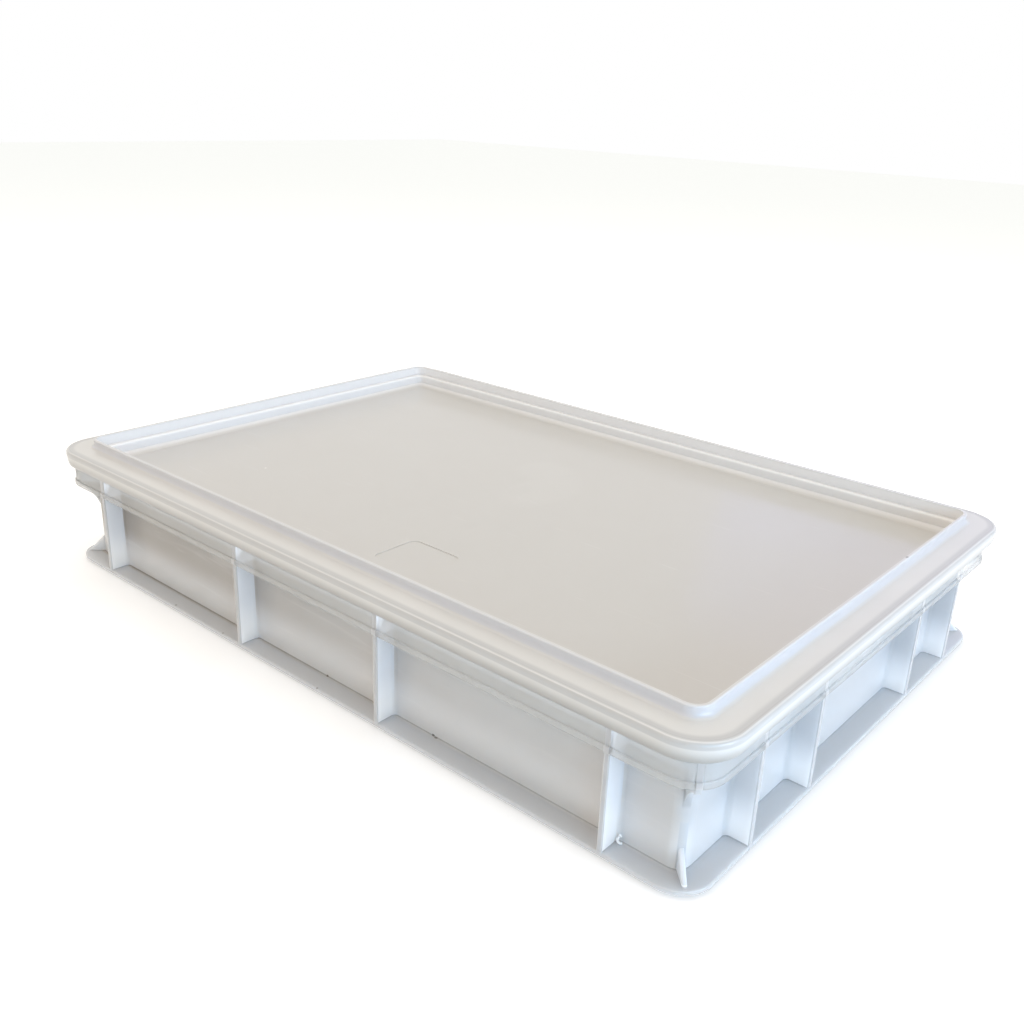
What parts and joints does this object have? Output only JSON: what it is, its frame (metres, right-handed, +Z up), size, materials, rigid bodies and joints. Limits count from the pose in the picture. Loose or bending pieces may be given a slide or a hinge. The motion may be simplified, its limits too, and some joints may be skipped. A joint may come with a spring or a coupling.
{
  "type": "dough proofing container",
  "caption": "Shallow rectangular plastic proofing tray with outside ribs, a base flange and a hanging band, under a lift-off lid with a rounded rim and a raised stacking lip.",
  "frame": {"origin": "on the ground under the middle of the tray's foot", "axes": "+X along the long side, +Y along the short side towards the back, +Z up"},
  "size_m": [0.6134, 0.4116, 0.103],
  "materials": {
    "tray_plastic": "translucent natural white food-grade polyethylene, satin, as moulded",
    "lid_plastic": "translucent natural white food-grade polyethylene, satin, as moulded"
  },
  "bodies": {
    "tray": {"proofing_tray": "tray_plastic"},
    "lid": {"lid": "lid_plastic"}
  },
  "joints": [
    {"name": "lid_lift", "type": "slide", "parent": "tray", "child": "lid", "axis": [0, 0, 1], "range_m": [0, 0.06]}
  ]
}
